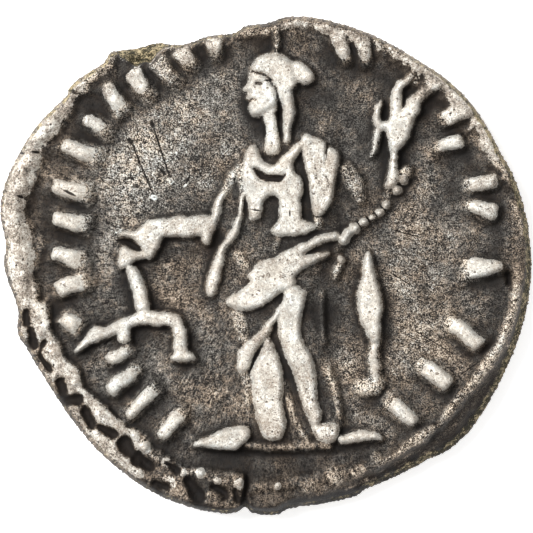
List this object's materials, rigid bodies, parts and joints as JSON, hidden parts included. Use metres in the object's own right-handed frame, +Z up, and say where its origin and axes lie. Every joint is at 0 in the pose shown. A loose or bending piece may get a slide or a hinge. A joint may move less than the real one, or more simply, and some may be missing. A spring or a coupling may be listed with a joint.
{
  "type": "denarius coin",
  "caption": "Hammered silver coin with a standing draped figure on one face, a laureate head on the other, an uneven edge and dark worn toning.",
  "frame": {"origin": "middle of the coin's outline, at the level that it rests on", "axes": "+Z up through the thickness, out of the face with the standing figure; +X to the figure's right hand side as seen, along the greatest width; +Y towards the figure's head"},
  "size_m": [0.0182, 0.017, 0.0021],
  "materials": {
    "silver": "old silver, dark in the fields and bright where worn"
  },
  "bodies": {
    "root": {"coin": "silver"}
  },
  "joints": []
}
